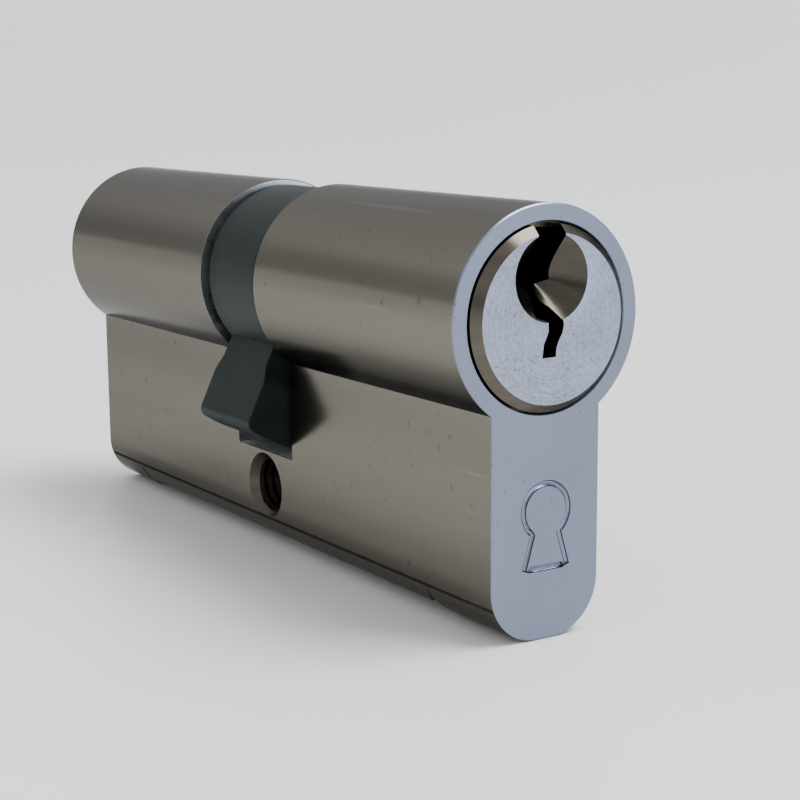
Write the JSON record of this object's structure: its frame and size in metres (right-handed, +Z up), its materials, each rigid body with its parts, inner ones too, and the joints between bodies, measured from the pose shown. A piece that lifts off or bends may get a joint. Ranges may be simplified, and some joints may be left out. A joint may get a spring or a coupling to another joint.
{
  "type": "euro-profile double lock cylinder",
  "caption": "Keyed lock cylinder with two turning plugs, spring-loaded pin stacks, a sliding clutch and a central cam that throws the bolt of a mortice lock.",
  "frame": {"origin": "middle of the base that the cylinder stands on, under the plug axis, half way along the housing", "axes": "+Y along the plug axis from the front face to the rear face, +Z up from the leg to the round head, +X to the right seen from the front"},
  "size_m": [0.0175, 0.0714, 0.033],
  "materials": {
    "satin_nickel": "satin nickel plate",
    "plug_nickel": "turned, satin nickel plate",
    "sintered_steel": "sintered, oiled, dark grey-green",
    "clutch_steel": "machined",
    "spring_steel": "drawn wire and stamped strip",
    "pin_brass": "turned"
  },
  "bodies": {
    "housing": {"housing": "satin_nickel", "pin_spring_front_1": "spring_steel", "chamber_plug_front_1": "satin_nickel", "pin_spring_front_2": "spring_steel", "chamber_plug_front_2": "satin_nickel", "pin_spring_front_3": "spring_steel", "chamber_plug_front_3": "satin_nickel", "pin_spring_front_4": "spring_steel", "chamber_plug_front_4": "satin_nickel", "pin_spring_front_5": "spring_steel", "chamber_plug_front_5": "satin_nickel", "pin_spring_rear_1": "spring_steel", "chamber_plug_rear_1": "satin_nickel", "pin_spring_rear_2": "spring_steel", "chamber_plug_rear_2": "satin_nickel", "pin_spring_rear_3": "spring_steel", "chamber_plug_rear_3": "satin_nickel", "pin_spring_rear_4": "spring_steel", "chamber_plug_rear_4": "satin_nickel", "pin_spring_rear_5": "spring_steel", "chamber_plug_rear_5": "satin_nickel"},
    "plug_front": {"plug_front": "plug_nickel", "circlip_front": "spring_steel"},
    "plug_rear": {"plug_rear": "plug_nickel", "circlip_rear": "spring_steel"},
    "cam": {"cam": "sintered_steel"},
    "clutch": {"clutch": "clutch_steel"},
    "key_pin_front_1": {"key_pin_front_1": "pin_brass"},
    "driver_pin_front_1": {"driver_pin_front_1": "pin_brass"},
    "key_pin_front_2": {"key_pin_front_2": "pin_brass"},
    "driver_pin_front_2": {"driver_pin_front_2": "pin_brass"},
    "key_pin_front_3": {"key_pin_front_3": "pin_brass"},
    "driver_pin_front_3": {"driver_pin_front_3": "pin_brass"},
    "key_pin_front_4": {"key_pin_front_4": "pin_brass"},
    "driver_pin_front_4": {"driver_pin_front_4": "pin_brass"},
    "key_pin_front_5": {"key_pin_front_5": "pin_brass"},
    "driver_pin_front_5": {"driver_pin_front_5": "pin_brass"},
    "key_pin_rear_1": {"key_pin_rear_1": "pin_brass"},
    "driver_pin_rear_1": {"driver_pin_rear_1": "pin_brass"},
    "key_pin_rear_2": {"key_pin_rear_2": "pin_brass"},
    "driver_pin_rear_2": {"driver_pin_rear_2": "pin_brass"},
    "key_pin_rear_3": {"key_pin_rear_3": "pin_brass"},
    "driver_pin_rear_3": {"driver_pin_rear_3": "pin_brass"},
    "key_pin_rear_4": {"key_pin_rear_4": "pin_brass"},
    "driver_pin_rear_4": {"driver_pin_rear_4": "pin_brass"},
    "key_pin_rear_5": {"key_pin_rear_5": "pin_brass"},
    "driver_pin_rear_5": {"driver_pin_rear_5": "pin_brass"}
  },
  "joints": [
    {"name": "plug_front_turn", "type": "hinge", "parent": "housing", "child": "plug_front", "pos_m": [0, 0, 0.0245], "axis": [0, 1, 0], "continuous": true},
    {"name": "plug_rear_turn", "type": "hinge", "parent": "housing", "child": "plug_rear", "pos_m": [0, 0, 0.0245], "axis": [0, 1, 0], "continuous": true},
    {"name": "cam_turn", "type": "hinge", "parent": "housing", "child": "cam", "pos_m": [0, 0, 0.0245], "axis": [0, 1, 0], "continuous": true},
    {"name": "clutch_slide", "type": "slide", "parent": "cam", "child": "clutch", "axis": [0, 1, 0], "range_m": [0, 0.004]},
    {"name": "key_pin_front_1_lift", "type": "slide", "parent": "plug_front", "child": "key_pin_front_1", "axis": [0, 0, 1], "range_m": [0, 0.0012]},
    {"name": "driver_pin_front_1_travel", "type": "slide", "parent": "housing", "child": "driver_pin_front_1", "axis": [0, 0, 1], "range_m": [-0.0018, 0], "stiffness_N_per_m": 30, "springref_m": 0.001, "deforming": ["pin_spring_front_1"]},
    {"name": "key_pin_front_2_lift", "type": "slide", "parent": "plug_front", "child": "key_pin_front_2", "axis": [0, 0, 1], "range_m": [0, 0.002]},
    {"name": "driver_pin_front_2_travel", "type": "slide", "parent": "housing", "child": "driver_pin_front_2", "axis": [0, 0, 1], "range_m": [-0.0018, 0], "stiffness_N_per_m": 30, "springref_m": 0.001, "deforming": ["pin_spring_front_2"]},
    {"name": "key_pin_front_3_lift", "type": "slide", "parent": "plug_front", "child": "key_pin_front_3", "axis": [0, 0, 1], "range_m": [0, 0.0008]},
    {"name": "driver_pin_front_3_travel", "type": "slide", "parent": "housing", "child": "driver_pin_front_3", "axis": [0, 0, 1], "range_m": [-0.0018, 0], "stiffness_N_per_m": 30, "springref_m": 0.001, "deforming": ["pin_spring_front_3"]},
    {"name": "key_pin_front_4_lift", "type": "slide", "parent": "plug_front", "child": "key_pin_front_4", "axis": [0, 0, 1], "range_m": [0, 0.0016]},
    {"name": "driver_pin_front_4_travel", "type": "slide", "parent": "housing", "child": "driver_pin_front_4", "axis": [0, 0, 1], "range_m": [-0.0018, 0], "stiffness_N_per_m": 30, "springref_m": 0.001, "deforming": ["pin_spring_front_4"]},
    {"name": "key_pin_front_5_lift", "type": "slide", "parent": "plug_front", "child": "key_pin_front_5", "axis": [0, 0, 1], "range_m": [0, 0.0004]},
    {"name": "driver_pin_front_5_travel", "type": "slide", "parent": "housing", "child": "driver_pin_front_5", "axis": [0, 0, 1], "range_m": [-0.0018, 0], "stiffness_N_per_m": 30, "springref_m": 0.001, "deforming": ["pin_spring_front_5"]},
    {"name": "key_pin_rear_1_lift", "type": "slide", "parent": "plug_rear", "child": "key_pin_rear_1", "axis": [0, 0, 1], "range_m": [0, 0.0012]},
    {"name": "driver_pin_rear_1_travel", "type": "slide", "parent": "housing", "child": "driver_pin_rear_1", "axis": [0, 0, 1], "range_m": [-0.0018, 0], "stiffness_N_per_m": 30, "springref_m": 0.001, "deforming": ["pin_spring_rear_1"]},
    {"name": "key_pin_rear_2_lift", "type": "slide", "parent": "plug_rear", "child": "key_pin_rear_2", "axis": [0, 0, 1], "range_m": [0, 0.002]},
    {"name": "driver_pin_rear_2_travel", "type": "slide", "parent": "housing", "child": "driver_pin_rear_2", "axis": [0, 0, 1], "range_m": [-0.0018, 0], "stiffness_N_per_m": 30, "springref_m": 0.001, "deforming": ["pin_spring_rear_2"]},
    {"name": "key_pin_rear_3_lift", "type": "slide", "parent": "plug_rear", "child": "key_pin_rear_3", "axis": [0, 0, 1], "range_m": [0, 0.0008]},
    {"name": "driver_pin_rear_3_travel", "type": "slide", "parent": "housing", "child": "driver_pin_rear_3", "axis": [0, 0, 1], "range_m": [-0.0018, 0], "stiffness_N_per_m": 30, "springref_m": 0.001, "deforming": ["pin_spring_rear_3"]},
    {"name": "key_pin_rear_4_lift", "type": "slide", "parent": "plug_rear", "child": "key_pin_rear_4", "axis": [0, 0, 1], "range_m": [0, 0.0016]},
    {"name": "driver_pin_rear_4_travel", "type": "slide", "parent": "housing", "child": "driver_pin_rear_4", "axis": [0, 0, 1], "range_m": [-0.0018, 0], "stiffness_N_per_m": 30, "springref_m": 0.001, "deforming": ["pin_spring_rear_4"]},
    {"name": "key_pin_rear_5_lift", "type": "slide", "parent": "plug_rear", "child": "key_pin_rear_5", "axis": [0, 0, 1], "range_m": [0, 0.0004]},
    {"name": "driver_pin_rear_5_travel", "type": "slide", "parent": "housing", "child": "driver_pin_rear_5", "axis": [0, 0, 1], "range_m": [-0.0018, 0], "stiffness_N_per_m": 30, "springref_m": 0.001, "deforming": ["pin_spring_rear_5"]}
  ],
  "couplings": [
    {"joint": "cam_turn", "follows": "plug_front_turn", "ratio": 1}
  ]
}
